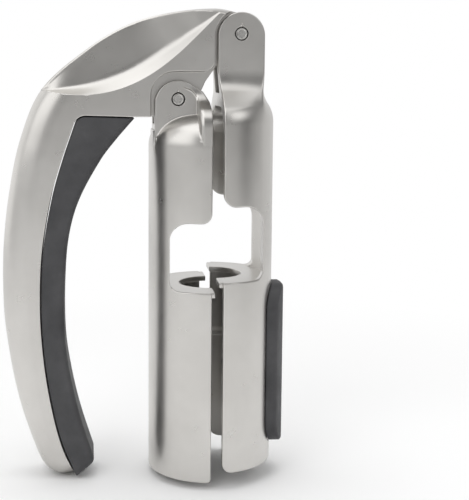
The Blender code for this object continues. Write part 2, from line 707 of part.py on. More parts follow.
def facet_scoop():
    # Hollow lens-shaped facet between the ridge and a crease that bows down across the lever's side
    start_x, end_x = FACET_ENDS
    ridge = [p for p in handle_back() if p[1] > 0.11 and end_x <= p[0] <= start_x]
    first, last = Vector(ridge[0]), Vector(ridge[-1])
    chord = last - first
    down = Vector((-chord.y, chord.x)).normalized()
    if down.y > 0:
        down = -down
    lengths = [0]
    for a, b in zip(ridge, ridge[1:]):
        lengths.append(lengths[-1] + (Vector(b) - Vector(a)).length)
    rings = []
    for point, length in zip(ridge, lengths):
        share = length / lengths[-1]
        skewed = share**FACET_SKEW
        top = Vector(point)
        crease = first + chord * share + down * max(FACET_SAG * 4 * skewed * (1 - skewed), 0.0003)
        out = (top - crease).normalized() * 0.004
        # The crease lies on the lever's surface, which is round near the ridge
        inward = max(0, 1 - (top - crease).length / BACK_ROUNDING)
        depth = LEVER_HALF_WIDTH * math.sqrt(1 - inward**2) - RIDGE_HALF_WIDTH
        ring = [(*(top + out), RIDGE_HALF_WIDTH)]
        for t in (0, 0.3, 0.55, 0.7, 0.8, 0.9, 1):
            rise = (1 - FACET_HOLLOW) * t + FACET_HOLLOW * t**5
            ring.append((*top.lerp(crease, t), RIDGE_HALF_WIDTH + depth * rise))
        ring.append((*(crease - out * 0.25), LEVER_HALF_WIDTH + 0.002))
        ring.append((*(top + out), LEVER_HALF_WIDTH + 0.002))
        rings.append([(x, -y, z) for x, z, y in ring])
    return loft("lever_front_facet", rings)


def seam_band(name, half_width, grip_side, handle_side, foot_z, top_z):
    # A strip along the seam, reaching into the grip on one side and into the handle on the other
    curve = [p for p in seam() if foot_z <= p[1] <= top_z and p[0] < -0.03]
    left, right = beside(curve, handle_side), beside(curve, -grip_side)
    return prism(name, left + right[::-1], -half_width, half_width)


def make_lever():
    lever = lever_blade()
    join(lever, tongue())
    cut(lever, ear_recess("lever_front_recess", -2 * LEVER_HALF_WIDTH, -TONGUE_HALF_WIDTH))
    cut(lever, ear_recess("lever_back_recess", TONGUE_HALF_WIDTH, 2 * LEVER_HALF_WIDTH))
    front = facet_scoop()
    cut(lever, front, mirrored(front, "lever_back_facet"))
    for name, pivot in (("lever_upper_bore", UPPER_PIVOT), ("lever_lower_bore", LOWER_PIVOT)):
        profile = [(0, -FAR), (BORE_RADIUS, -FAR), (BORE_RADIUS, FAR), (0, FAR)]
        cut(lever, turned(name, profile, 24, pivot, Vector((0, 1, 0))))
    cut(lever, seam_band(
        "lever_grip_groove", RIB_HALF_WIDTH + CLEARANCE, 0.002, GRIP_RIB_DEPTH + CLEARANCE,
        GRIP_RIB_FOOT_Z - 0.0015, GRIP_RIB_TOP_Z + 0.0015,
    ))
    return lever


def make_grip():
    back = beside(seam(), -CLEARANCE)
    foot = Vector((SEAM_POINTS[0][0] + CLEARANCE, GRIP_FOOT_Z))
    contour = smooth_curve(GRIP_POINTS)
    contour = contour[:-1] + rounded([(*contour[-2], 0), (*contour[-1], GRIP_FOOT_CORNER), (*foot, 0)], False)[1:]
    inward = [-n for n in normals_of(contour)]
    inward[0] = Vector((-1, 0))
    inward[-1] = (Vector(back[1]) - Vector(back[0])).normalized()
    rims = []
    for (x, z), n in zip(contour, inward):
        rim = [(x, z, 0)]
        for angle in (0, 30, 60, 90):
            turn = math.radians(angle)
            depth = GRIP_EDGE * (1 - math.cos(turn))
            rim.append((x + n.x * depth, z + n.y * depth, GRIP_HALF_WIDTH - GRIP_EDGE * (1 - math.sin(turn))))
        rims.append(rim)
    rest = [p for p in back[:-1] if p[1] > GRIP_FOOT_Z + GRIP_EDGE + 0.001]
    grip = rimmed_plate("lever_grip", rims, rest, GRIP_HALF_WIDTH)
    join(grip, seam_band("grip_rib", RIB_HALF_WIDTH, 0.002, GRIP_RIB_DEPTH, GRIP_RIB_FOOT_Z, GRIP_RIB_TOP_Z))
    return grip


# Pins

def make_pin(name, pivot):
    start, face = PIN_RECESS - EAR_HALF_WIDTH, EAR_HALF_WIDTH + CLEARANCE
    dome = [
        (PIN_HEAD_RADIUS * math.cos(math.radians(a)), face + PIN_HEAD_HEIGHT * (0.25 + 0.75 * math.sin(math.radians(a))))
        for a in (0, 25, 50, 75)
    ]
    profile = [
        (0, start + 0.0002), (PIN_RADIUS - 0.0005, start), (PIN_RADIUS - 0.0002, start), (PIN_RADIUS, start + 0.0003),
        (PIN_RADIUS, face), (PIN_HEAD_RADIUS, face),
    ] + dome + [(0, face + PIN_HEAD_HEIGHT)]
    return turned(name, profile, 24, pivot, Vector((0, 1, 0)))


clear_scene()
nickel = make_material("satin_nickel", (0.62, 0.60, 0.57), 0.3, 1.0)
steel = make_material("polished_steel", (0.66, 0.65, 0.63), 0.18, 1.0)
rubber = make_material("black_rubber", (0.035, 0.035, 0.037), 0.6, 0.0)

rear_jaw = make_rear_jaw()
pad = make_pad()
lever = make_lever()
grip = make_grip()
front_jaw = make_front_jaw()
upper_pin = make_pin("upper_pivot_pin", UPPER_PIVOT)
lower_pin = make_pin("lower_pivot_pin", LOWER_PIVOT)

seat(rear_jaw, Vector())
seat(pad, Vector(), rear_jaw)
seat(upper_pin, UPPER_PIVOT, rear_jaw)
seat(lever, UPPER_PIVOT, rear_jaw)
seat(grip, UPPER_PIVOT, lever)
seat(lower_pin, LOWER_PIVOT, lever)
seat(front_jaw, LOWER_PIVOT, lever)

for piece in (rear_jaw, lever, front_jaw):
    finish(piece, nickel)
for piece in (upper_pin, lower_pin):
    finish(piece, steel)
for piece in (pad, grip):
    finish(piece, rubber)
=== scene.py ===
import math

import bmesh
import bpy
from mathutils import Matrix, Vector


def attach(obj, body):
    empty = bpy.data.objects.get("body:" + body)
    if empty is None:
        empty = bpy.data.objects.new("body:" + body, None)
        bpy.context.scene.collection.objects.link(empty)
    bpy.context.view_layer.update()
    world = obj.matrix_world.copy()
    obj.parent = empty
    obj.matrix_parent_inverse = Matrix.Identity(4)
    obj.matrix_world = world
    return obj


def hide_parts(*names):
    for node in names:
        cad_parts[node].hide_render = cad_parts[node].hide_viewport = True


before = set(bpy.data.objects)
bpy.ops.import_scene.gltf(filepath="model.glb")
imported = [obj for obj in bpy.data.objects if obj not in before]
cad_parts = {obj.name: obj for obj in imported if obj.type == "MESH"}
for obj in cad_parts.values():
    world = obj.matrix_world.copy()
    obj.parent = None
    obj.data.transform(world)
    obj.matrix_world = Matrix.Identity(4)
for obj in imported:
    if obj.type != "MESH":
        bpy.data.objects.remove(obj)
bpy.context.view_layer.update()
print("frame loaded")

mm = 0.001

# What is shared by all pieces, in millimetres from the closed jaws' axis and the front jaw's foot
shared = {
    "clearance": 0.3,
    "shellRadius": 18.7,
    "shellWall": 2.2,
    "earHalf": 7.5,
    "earInside": 4.6,
    "earRadius": 6.9,
    "leverHalf": 8.0,
    "upperPivot": (8.1, 131.8),
    "lowerPivot": (-10.4, 112.8),
    "pinRadius": 1.7,
    "padReach": 22.5,
    "cornerSteps": 12,
    "curveStep": 1.2,
}
earInside = shared["earInside"]
tongueHalf = earInside - shared["clearance"]
cavityRadius = shared["shellRadius"] - shared["shellWall"]
boreRadius = shared["pinRadius"] + shared["clearance"]
far = 30.0  # how far out the cutting tools reach
overhead = 160.0  # and how far up


# Outlines

def arc(centre, radius, start, end, steps):
    angles = [math.radians(start + (end - start) * i / steps) for i in range(steps + 1)]
    return [(centre[0] + radius * math.cos(a), centre[1] + radius * math.sin(a)) for a in angles]


def rounded(corners, closed=True):  # corners are (x, z, radius)
    points = []
    for i, (x, z, radius) in enumerate(corners):
        here = Vector((x, z))
        if radius == 0 or (not closed and i in (0, len(corners) - 1)):
            points.append((x, z))
            continue
        before = (Vector(corners[i - 1][:2]) - here).normalized()
        after = (Vector(corners[(i + 1) % len(corners)][:2]) - here).normalized()
        half = before.angle(after) / 2
        centre = here + (before + after).normalized() * radius / math.sin(half)
        start = here + before * radius / math.tan(half) - centre
        end = here + after * radius / math.tan(half) - centre
        startAngle = math.atan2(start.y, start.x)
        sweep = math.remainder(math.atan2(end.y, end.x) - startAngle, math.tau)
        for step in range(shared["cornerSteps"] + 1):
            angle = startAngle + sweep * step / shared["cornerSteps"]
            points.append((centre.x + radius * math.cos(angle), centre.y + radius * math.sin(angle)))
    return points


def smoothCurve(points, step=shared["curveStep"]):
    points = [Vector(p) for p in points]
    chords = [(b - a).length for a, b in zip(points, points[1:])]
    slopes = []
    for i in range(len(points)):
        first, last = max(i - 1, 0), min(i + 1, len(points) - 1)
        slopes.append((points[last] - points[first]) / sum(chords[first:last]))
    curve = []
    for i, chord in enumerate(chords):
        count = max(1, round(chord / step))
        for j in range(count):
            t = j / count
            curve.append(
                points[i] * (2 * t**3 - 3 * t**2 + 1) + slopes[i] * chord * (t**3 - 2 * t**2 + t)
                + points[i + 1] * (3 * t**2 - 2 * t**3) + slopes[i + 1] * chord * (t**3 - t**2)
            )
    curve.append(points[-1])
    return [(p.x, p.y) for p in curve]


def normalsOf(points):
    normals = []
    for i in range(len(points)):
        along = (Vector(points[min(i + 1, len(points) - 1)]) - Vector(points[max(i - 1, 0)])).normalized()
        normals.append(Vector((-along.y, along.x)))
    return normals


def moved(point, step):
    return point[0] + step[0], point[1] + step[1]


def beside(points, distance):
    return [(x + n.x * distance, z + n.y * distance) for (x, z), n in zip(points, normalsOf(points))]


def reachAt(profile, z):  # how far out a (reach, height) profile stands at one height
    for (r0, z0), (r1, z1) in zip(profile, profile[1:]):
        if z0 <= z <= z1:
            return r0 + (r1 - r0) * (z - z0) / max(z1 - z0, 1e-9)
    return profile[0][0] if z < profile[0][1] else profile[-1][0]


# The handle's line says where the frame's middle is

handle = {
    "backLine": [  # from the upper pin over the arch and down to the foot
        (8.1, 138.1), (1.1, 139.4), (-12.2, 138.2), (-24.5, 134.8), (-36.8, 127.7), (-50.6, 115.6),
        (-57.1, 100.9), (-60.6, 85.0), (-62.4, 70.0), (-62.8, 55.0), (-62.1, 43.0), (-58.8, 23.5),
        (-53.8, 7.3), (-50.5, 0.7), (-46.2, -1.8), (-41.2, -1.3),
    ],
    "footDrop": 1.9,
    "seamLine": [
        (-41.2, -1.3), (-45.6, 9.4), (-48.8, 23.2), (-50.7, 37.1), (-51.4, 51.0), (-50.7, 67.6),
        (-47.9, 84.0), (-44.9, 94.4), (-42.0, 102.8),
    ],
    "seamEnd": -23.1,
    "seamRise": 0.5,
    "seamCorner": 3.7,
    "innerCorners": [(-10.4, 107.6), (-7.25, 112.8), (0.54, 122.98)],
    "backRounding": 9.0,
    "tipRounding": 5.0,
    "crownRounding": 2.0,
    "crownEnd": -14.0,
    "crownFade": 18.0,
    "tipTaper": 40.0,
    "underside": 107.6,
    "cheekGap": 0.85,
    "cheekCorner": 7.0,
    "edge": 0.3,
    "edgeAngle": 62,
    "coarseStep": 3.5,
}
coarseLine = smoothCurve(handle["backLine"], handle["coarseStep"])  # in the CAD node's own steps
handleReach = -min(x for x, z in coarseLine)
shift = Vector(((handleReach - shared["padReach"]) / 2, 0, handle["footDrop"]))


# Shapes, made in millimetres and put in the frame when they are finished

def addPiece(name, bm):
    bmesh.ops.remove_doubles(bm, verts=bm.verts, dist=1e-4)
    bmesh.ops.recalc_face_normals(bm, faces=bm.faces)
    mesh = bpy.data.meshes.new(name)
    bm.to_mesh(mesh)
    bm.free()
    piece = bpy.data.objects.new(name, mesh)
    bpy.context.collection.objects.link(piece)
    return piece


def pushed(name, outline, step):  # flat outline pushed straight out
    bm = bmesh.new()
    face = bm.faces.new([bm.verts.new(point) for point in outline])
    grown = bmesh.ops.extrude_face_region(bm, geom=[face])
    moved = [v for v in grown["geom"] if isinstance(v, bmesh.types.BMVert)]
    bmesh.ops.translate(bm, verts=moved, vec=step)
    return addPiece(name, bm)


def slab(name, outline, lowY, highY):
    return pushed(name, [(x, lowY, z) for x, z in outline], (0, highY - lowY, 0))


def turned(name, profile, steps, centre=(0, 0, 0), axis=(0, 0, 1), start=0):  # profile is (radius, height)
    centre, axis = Vector(centre), Vector(axis)
    across = Vector((0, 1, 0)) if abs(axis.x) > 0.5 else Vector((1, 0, 0))
    across.rotate(Matrix.Rotation(math.radians(start), 3, axis))
    bm = bmesh.new()
    points = [bm.verts.new(centre + across * r + axis * h) for r, h in profile]
    edges = [bm.edges.new(pair) for pair in zip(points, points[1:])]
    bmesh.ops.spin(
        bm, geom=points + edges, cent=centre, axis=axis, angle=math.tau,
        steps=steps, use_merge=True, use_duplicate=False,
    )
    return addPiece(name, bm)


def bridged(name, rings):  # closed rings, one after the other
    bm = bmesh.new()
    loops = []
    for ring in rings:
        verts = [bm.verts.new(point) for point in ring]
        loops.append([bm.edges.new((verts[i - 1], verts[i])) for i in range(len(verts))])
    for low, high in zip(loops, loops[1:]):
        bmesh.ops.bridge_loops(bm, edges=low + high)
    bmesh.ops.contextual_create(bm, geom=loops[0])
    bmesh.ops.contextual_create(bm, geom=loops[-1])
    return addPiece(name, bm)


def rimmedPlate(name, rims, rest, half):  # flat-sided plate with a shaped rim along part of its outline
    bm = bmesh.new()
    sections = []
    for rim in rims:
        front = [bm.verts.new((x, -y, z)) for x, z, y in reversed(rim)]
        back = [bm.verts.new((x, y, z)) for x, z, y in rim]
        sections.append(front + back)
    sides = [[bm.verts.new((x, y, z)) for x, z in rest] for y in (-half, half)]
    for one, other in zip(sections, sections[1:]):
        for i in range(len(one) - 1):
            bm.faces.new((one[i], one[i + 1], other[i + 1], other[i]))
    front = [s[0] for s in sections] + sides[0]
    back = [s[-1] for s in sections] + sides[1]
    bm.faces.new(front)
    bm.faces.new(back)
    start = len(sections) - 1
    for i in range(start + 1, len(front) - 1):
        bm.faces.new((front[i], front[i + 1], back[i + 1], back[i]))
    bm.faces.new(sections[-1] + [back[start + 1], front[start + 1]])
    bm.faces.new(sections[0] + [back[-1], front[-1]])
    return addPiece(name, bm)


def carve(piece, tools, operation="DIFFERENCE"):  # the tools are used up
    for tool in tools:
        step = piece.modifiers.new(tool.name, "BOOLEAN")
        step.operation = operation
        step.object = tool
        step.solver = "EXACT"
    bake(piece)
    for tool in tools:
        bpy.data.objects.remove(tool)


def bake(piece):
    shown = piece.evaluated_get(bpy.context.evaluated_depsgraph_get())
    mesh = bpy.data.meshes.new_from_object(shown)
    piece.modifiers.clear()
    piece.data = mesh


rounding = {
    "merge": 0.04, "slim": 0.02, "flatAngle": 0.4, "angle": 32, "segments": 3,
    "boreZone": 3.6, "boreShare": 0.35, "foldReach": 2.0, "foldTurns": 8,
}


def nearBore(edge, pivot):
    return all(math.hypot(v.co.x - pivot[0], v.co.z - pivot[1]) < rounding["boreZone"] for v in edge.verts)


def softenEdges(piece, width, angle=rounding["angle"], segments=rounding["segments"], pivot=None):
    bm = bmesh.new()
    bm.from_mesh(piece.data)
    bmesh.ops.remove_doubles(bm, verts=bm.verts, dist=rounding["merge"])
    bmesh.ops.dissolve_degenerate(bm, edges=bm.edges, dist=rounding["slim"])
    bmesh.ops.dissolve_limit(
        bm, angle_limit=math.radians(rounding["flatAngle"]), verts=bm.verts, edges=bm.edges,
    )
    weights = bm.edges.layers.float.new("bevel_weight_edge")
    for edge in bm.edges:
        if edge.is_manifold and edge.calc_face_angle() > math.radians(angle):
            edge[weights] = rounding["boreShare"] if pivot and nearBore(edge, pivot) else 1
    bm.to_mesh(piece.data)
    bm.free()
    bevel = piece.modifiers.new("edges", "BEVEL")
    bevel.width = width
    bevel.segments = segments
    bevel.limit_method = "WEIGHT"
    bevel.use_clamp_overlap = False
    bake(piece)
    unfold(piece)


def foldedFaces(bm):
    folded = set()
    for loops in bm.calc_loop_triangles():
        a, b, c = (loop.vert.co for loop in loops)
        if (b - a).cross(c - a).dot(loops[0].face.normal) < -1e-6:
            folded.add(loops[0].face)
    return folded


def unfold(piece):  # draws together the short edges that run backward where a rounding was too wide
    bm = bmesh.new()
    bm.from_mesh(piece.data)
    for turn in range(rounding["foldTurns"]):
        backward = set()
        for face in foldedFaces(bm):
            for loop in face.loops:
                before, after = loop.link_loop_prev.edge, loop.edge
                first = loop.vert.co - loop.link_loop_prev.vert.co
                second = loop.link_loop_next.vert.co - loop.vert.co
                tiny = min(first.length, second.length) < 1e-6
                if tiny or first.normalized().dot(second.normalized()) < -0.3:
                    shorter = before if first.length < second.length else after
                    if shorter.calc_length() < rounding["foldReach"]:
                        backward.add(shorter)
        if not backward:
            break
        bmesh.ops.collapse(bm, edges=list(backward))
        bmesh.ops.dissolve_degenerate(bm, edges=bm.edges, dist=1e-4)
    bm.to_mesh(piece.data)
    bm.free()


def closeMesh(piece):  # no loose edges, no open ones, faces outward
    bm = bmesh.new()
    bm.from_mesh(piece.data)
    bmesh.ops.delete(bm, geom=[edge for edge in bm.edges if not edge.link_faces], context="EDGES")
    bmesh.ops.holes_fill(bm, edges=[edge for edge in bm.edges if edge.is_boundary], sides=0)
    bmesh.ops.recalc_face_normals(bm, faces=bm.faces)
    bm.to_mesh(piece.data)
    bm.free()


creaseAngle = 40  # sharper edges than this stay crisp


def place(piece, body, node, material):
    closeMesh(piece)
    piece.data.transform(Matrix.Translation(shift * mm) @ Matrix.Scale(mm, 4))
    piece.data.materials.clear()
    piece.data.materials.append(material)
    piece.data.shade_smooth()
    piece.data.set_sharp_from_angle(angle=math.radians(creaseAngle))
    even = piece.modifiers.new("normals", "WEIGHTED_NORMAL")
    even.keep_sharp = True
    bake(piece)
    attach(piece, body)
    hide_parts(node)
    print(piece.name, len(piece.data.polygons), "faces")


# Features that both jaws share

boreSteps = 48
notch = {"width": 1.3, "height": 1.1, "depth": 0.7}


def pinBore(name, pivot):  # plain round bore, through whatever it meets
    profile = [(0, -far), (boreRadius, -far), (boreRadius, far), (0, far)]
    return turned(name, profile, boreSteps, (pivot[0], 0, pivot[1]), (0, 1, 0))


def keyNotch(name, pivot):  # small notch above the bore, in the front ear only
    x, top = pivot[0], pivot[1] + boreRadius
    foot = top - notch["height"] / 2
    outline = [(x - notch["width"] / 2, foot), (x + notch["width"] / 2, foot), (x, top + notch["height"])]
    return slab(name, outline, -far, notch["depth"] - shared["earHalf"])


def forkSlot(name, floor):
    return slab(name, [(-far, floor), (far, floor), (far, overhead), (-far, overhead)], -earInside, earInside)


inside = {
    "ribHeight": 1.2, "ribWidth": 1.6, "ribBelow": 22.5, "ribFillet": 0.8, "ribCorner": 0.35,
    "domeWidth": 9.5, "domeRise": 9.0, "steps": 60, "start": 3,
}


def cavity(name, ledgeTop, roof, foot):  # domed above, with a low rib round it below the ledge
    ribZ = ledgeTop - inside["ribBelow"]
    ribRadius = cavityRadius - inside["ribHeight"]
    halfRib = inside["ribWidth"] / 2
    fillet, corner = inside["ribFillet"], inside["ribCorner"]
    dome = [
        (cavityRadius - inside["domeWidth"] * (1 - math.cos(math.radians(a))),
         roof - inside["domeRise"] * (1 - math.sin(math.radians(a))))
        for a in range(90, -1, -6)
    ]
    lower = rounded(
        [
            (cavityRadius, ribZ + 8, 0), (cavityRadius, ribZ + 2 * halfRib, fillet),
            (ribRadius, ribZ + halfRib, corner), (ribRadius, ribZ, corner),
            (cavityRadius, ribZ - halfRib, fillet), (cavityRadius, foot - 10, 0),
        ],
        closed=False,
    )
    return turned(name, [(0, roof)] + dome + lower + [(0, foot - 10)], inside["steps"], start=inside["start"])


ledges = {"throat": 9.4, "thickness": 1.6, "reach": 1.1, "edge": 0.3, "drop": 0.03}


def ledge(name, top, endX, side):  # flat crescent that holds the cork; side is 1 to the right, -1 to the left
    outside = shared["shellRadius"] - shared["shellWall"] / 2
    outer = math.degrees(math.acos(abs(endX) / outside))
    inner = math.degrees(math.acos(abs(endX) / ledges["throat"]))
    if endX * side < 0:
        outer, inner = 180 - outer, 180 - inner
    outline = arc((0, 0), outside, -outer, outer, 60) + arc((0, 0), ledges["throat"], inner, -inner, 40)
    foot, height = top - ledges["thickness"], ledges["thickness"] - ledges["drop"]
    piece = pushed(name, [(side * x, y, foot) for x, y in outline], (0, 0, height))
    softenEdges(piece, ledges["edge"])
    return piece


# Rear jaw

rearJaw = {
    "mating": 1.95, "foot": 2.9, "footCorner": 3.0, "ledge": 60.0, "windowX": 14.45, "windowTop": 81.9,
    "windowCorner": 6.0, "windowFoot": 2.5, "lipCorner": 4.0, "roof": 110.5, "fork": 114.5, "waist": 122.1,
    "shoulder": 108.9, "shoulderCurve": 6.6, "neck": 117.4, "neckCurve": 8.0, "backShoulder": 108.8,
    "backNeck": 114.2, "backCurve": 9.2, "earDrop": 0.6, "innerX": -5, "squareAngle": 37.5, "ringStep": 3.75,
    "edge": 0.42,
}
pad = {
    "foot": 7.9, "top": 57.0, "half": 9.3, "innerX": 8.0, "crown": 15.5, "corner": 7.0, "topEdge": 1.4,
    "recess": 0.6, "edge": 0.6, "edgeAngle": 40, "edgeSegments": 4, "steps": 40, "start": 4.5,
}


def rearForm():  # half shell whose rings turn from round to square on the way up to the ears
    size = rearJaw
    radius, ear = shared["shellRadius"], shared["earHalf"]
    earX = shared["upperPivot"][0] + shared["earRadius"]
    top = shared["upperPivot"][1] + shared["earRadius"]
    side = rounded(
        [
            (radius, size["foot"], 0), (radius, size["shoulder"], size["shoulderCurve"]),
            (ear, size["neck"], size["neckCurve"]), (ear, top, 0),
        ],
        closed=False,
    )
    back = rounded(
        [
            (radius, size["foot"], 0), (radius, size["backShoulder"], size["backCurve"]),
            (earX, size["backNeck"], size["backCurve"]), (earX, top, 0),
        ],
        closed=False,
    )
    corner = math.radians(size["squareAngle"])
    steps = round(90 / size["ringStep"])
    rings = []
    levels = sorted({round(z, 3) for _, z in side + back})
    levels = [z for i, z in enumerate(levels) if i == 0 or z - levels[i - 1] > rounding["slim"]]
    for z in levels:
        halfY, reachX = reachAt(side, z), reachAt(back, z)
        square = (radius - halfY) / (radius - ear)
        ring = [(size["innerX"], -halfY, z)]
        for i in range(-steps, steps + 1):
            angle = math.radians(i * size["ringStep"])
            squareX = min(1, math.cos(angle) / math.cos(corner))
            squareY = max(-1, min(1, math.sin(angle) / math.sin(corner)))
            x = reachX * (math.cos(angle) * (1 - square) + squareX * square)
            y = halfY * (math.sin(angle) * (1 - square) + squareY * square)
            ring.append((x, y, z))
        ring.append((size["innerX"], halfY, z))
        rings.append(ring)
    return bridged("rearJaw", rings)


def rearOutline():
    size = rearJaw
    ear = (shared["upperPivot"][0], shared["upperPivot"][1] - size["earDrop"])
    left = ear[0] - shared["earRadius"]
    corners = [
        (far, size["foot"], 0), (size["mating"], size["foot"], size["footCorner"]),
        (size["mating"], size["ledge"], 0), (size["windowX"], size["ledge"], size["windowFoot"]),
        (size["windowX"], size["windowTop"], size["windowCorner"]),
        (size["mating"], size["windowTop"], size["lipCorner"]),
        (size["mating"], size["fork"], 0), (left, size["waist"], 0), (left, ear[1], 0),
    ]
    return rounded(corners)[:-1] + arc(ear, shared["earRadius"], 180, 0, 48) + [(far, ear[1])]


def padBlock(name, margin):
    half, corner = pad["half"] + margin, pad["corner"]
    low, high = pad["foot"] - margin, pad["top"] + margin
    corners = [(-half, low, corner), (half, low, corner), (half, high, corner), (-half, high, corner)]
    return pushed(name, [(pad["innerX"], y, z) for y, z in rounded(corners)], (far, 0, 0))


def rod(name, radius):  # smooth round rod on the jaws' axis
    return turned(name, [(0, -far), (radius, -far), (radius, overhead), (0, overhead)], 216)


rear = rearForm()
carve(rear, [slab("rearOutline", rearOutline(), -far, far)], "INTERSECT")
carve(rear, [cavity("rearCavity", rearJaw["ledge"], rearJaw["roof"], rearJaw["foot"])])
recess = padBlock("padRecess", shared["clearance"])
carve(recess, [rod("recessFloor", shared["shellRadius"] - pad["recess"])])
carve(rear, [forkSlot("rearFork", rearJaw["fork"]), recess])
carve(rear, [pinBore("rearBore", shared["upperPivot"])])
carve(rear, [keyNotch("rearNotch", shared["upperPivot"])])
softenEdges(rear, rearJaw["edge"], pivot=shared["upperPivot"])
rearLedge = ledge("rearLedge", rearJaw["ledge"], rearJaw["mating"] - ledges["reach"], 1)
print("rear jaw shaped")

# Pad

padPiece = padBlock("rearPad", 0)
crownTop, crownFoot = pad["top"] + 0.02, pad["foot"] - 0.02  # a hair past the block's own ends
crownProfile = rounded(
    [
        (0, crownTop, 0), (pad["crown"], crownTop, pad["topEdge"]),
        (pad["crown"], crownFoot, pad["topEdge"]), (0, crownFoot, 0),
    ],
    closed=False,
)
crownMiddle = (shared["padReach"] - pad["crown"], 0, 0)
padCrown = turned("padCrown", crownProfile, pad["steps"], crownMiddle, start=pad["start"])
carve(padPiece, [padCrown], "INTERSECT")
carve(padPiece, [rod("padSeat", shared["shellRadius"] - pad["recess"] + shared["clearance"])])
softenEdges(padPiece, pad["edge"], pad["edgeAngle"], pad["edgeSegments"])
print("pad shaped")

# Front jaw

frontJaw = {
    "mating": -1.36, "footCorner": 1.3, "ledge": 57.0, "windowX": -13.2, "windowTop": 77.2,
    "windowCorner": 5.5, "windowFoot": 2.5, "lipCorner": 3.0, "domeSpring": 99.0, "domeTop": 108.2,
    "domeTopRadius": 8.6, "roof": 102.0, "fork": 105.3, "earDrop": 1.4, "earEnd": 52, "earMargin": 0.5,
    "earFoot": 98.0, "tuck": 0.03, "steps": 96, "start": 1.875, "edge": 0.42,
}
collar = {  # the raised rim beside the ears
    "width": 3.5, "foot": 93.0, "shoulder": 108.8, "neck": 113.2, "curve": 6.0, "bend": 111.9,
    "corner": 2.0, "cornerRise": 3.045, "round": 1.3, "innerX": (-12, -8, -6), "outerX": (-1.5, 0),
    "low": 90, "sideTop": 114.8, "top": 116.9, "topCurve": 4, "lean": 6, "above": 120,
}


def frontEar():
    return shared["lowerPivot"][0], shared["lowerPivot"][1] - frontJaw["earDrop"]


def domeHeight(radius):
    size = frontJaw
    share = (radius - size["domeTopRadius"]) / (shared["shellRadius"] - size["domeTopRadius"])
    return size["domeSpring"] + (size["domeTop"] - size["domeSpring"]) * math.sqrt(1 - share**2)


def frontOutline():
    size = frontJaw
    earX, earZ = frontEar()
    shoulder = domeHeight(shared["earRadius"] - earX)
    ear = arc((earX, earZ), shared["earRadius"], size["earEnd"], 180, 40)
    corners = [
        (-far, 0, 0), (size["mating"], 0, size["footCorner"]), (size["mating"], size["ledge"], 0),
        (size["windowX"], size["ledge"], size["windowFoot"]),
        (size["windowX"], size["windowTop"], size["windowCorner"]),
        (size["mating"], size["windowTop"], size["lipCorner"]),
        (size["mating"], collar["bend"], collar["corner"]),
        (size["mating"] - collar["width"] / 2, collar["bend"] + collar["cornerRise"], collar["corner"]),
        (*ear[0], 0),
    ]
    return rounded(corners)[:-1] + ear + [(earX - shared["earRadius"], shoulder), (-far, shoulder)]


def frontDome():  # the shell and its roof, still whole all round
    size = frontJaw
    drawIn = shared["shellRadius"] - size["domeTopRadius"]
    reaches = [size["domeTopRadius"] + drawIn * math.cos(math.radians(a)) for a in range(90, -1, -3)]
    profile = [(0, size["domeTop"])] + [(reach, domeHeight(reach)) for reach in reaches]
    profile += [(shared["shellRadius"], -1), (0, -1)]
    return turned("frontJaw", profile, size["steps"], start=size["start"])


def frontCollar():  # wide at the shell's sides, narrow at the ears
    size = collar
    within = shared["shellRadius"] - frontJaw["tuck"]
    half, curve, foot = shared["earHalf"], size["curve"], size["foot"]
    sideX = frontJaw["mating"] - size["width"]
    roundX = [sideX + size["round"] * share**2 for share in (0, 0.2, 0.4, 0.6, 0.8, 1)]
    rings = []
    for x in [*size["innerX"], *roundX, *size["outerX"]]:
        inward = min(max(size["round"] - (x - sideX), 0), size["round"])
        reach = math.sqrt(within**2 - x**2) - size["round"] + math.sqrt(size["round"]**2 - inward**2)
        ring = rounded([
            (-reach, foot, 0), (-reach, size["shoulder"], curve), (-half, size["neck"], curve),
            (-half, size["above"], 0), (half, size["above"], 0), (half, size["neck"], curve),
            (reach, size["shoulder"], curve), (reach, foot, 0),
        ])
        rings.append([(x, y, z) for y, z in ring])
    form = bridged("frontCollar", rings)
    side = rounded([
        (sideX, size["low"], 0), (sideX, size["sideTop"], size["topCurve"]),
        (sideX - size["lean"], size["top"], 0), (0, size["top"], 0), (0, size["low"], 0),
    ])
    carve(form, [slab("collarWidth", side, -far, far)], "INTERSECT")
    return form


def frontEars():
    earX, earZ = frontEar()
    reach, foot = shared["earRadius"] + frontJaw["earMargin"], frontJaw["earFoot"]
    outline = [(earX + reach, foot)] + arc((earX, earZ), reach, -6, 186, 40) + [(earX - reach, foot)]
    form = slab("frontEars", outline, -shared["earHalf"], shared["earHalf"])
    carve(form, [rod("earWidth", shared["shellRadius"] - frontJaw["tuck"])], "INTERSECT")
    return form


front = frontDome()
carve(front, [frontCollar(), frontEars()], "UNION")
carve(front, [slab("frontOutline", frontOutline(), -far, far)], "INTERSECT")
carve(front, [cavity("frontCavity", frontJaw["ledge"], frontJaw["roof"], 0)])
carve(front, [forkSlot("frontFork", frontJaw["fork"])])
carve(front, [pinBore("frontBore", shared["lowerPivot"])])
carve(front, [keyNotch("frontNotch", shared["lowerPivot"])])
softenEdges(front, frontJaw["edge"], pivot=shared["lowerPivot"])
frontLedge = ledge("frontLedge", frontJaw["ledge"], frontJaw["mating"] + ledges["reach"], -1)
print("front jaw shaped")


# Lever

def seam():  # where the grip meets the handle
    curve = smoothCurve(handle["seamLine"])
    (x0, z0), (x1, z1) = curve[-2:]
    roof = handle["underside"] + handle["seamRise"]
    corner = (x1 + (x1 - x0) * (roof - z1) / (z1 - z0), roof, handle["seamCorner"])
    end = (handle["seamEnd"], handle["underside"], 0)
    return curve[:-1] + rounded([(*curve[-1], 0), corner, end], closed=False)


def crownShare(x):  # 0 over the arch, 1 down the handle's back
    share = max(0, min(1, (handle["crownEnd"] - x) / handle["crownFade"]))
    return share * share * (3 - 2 * share)


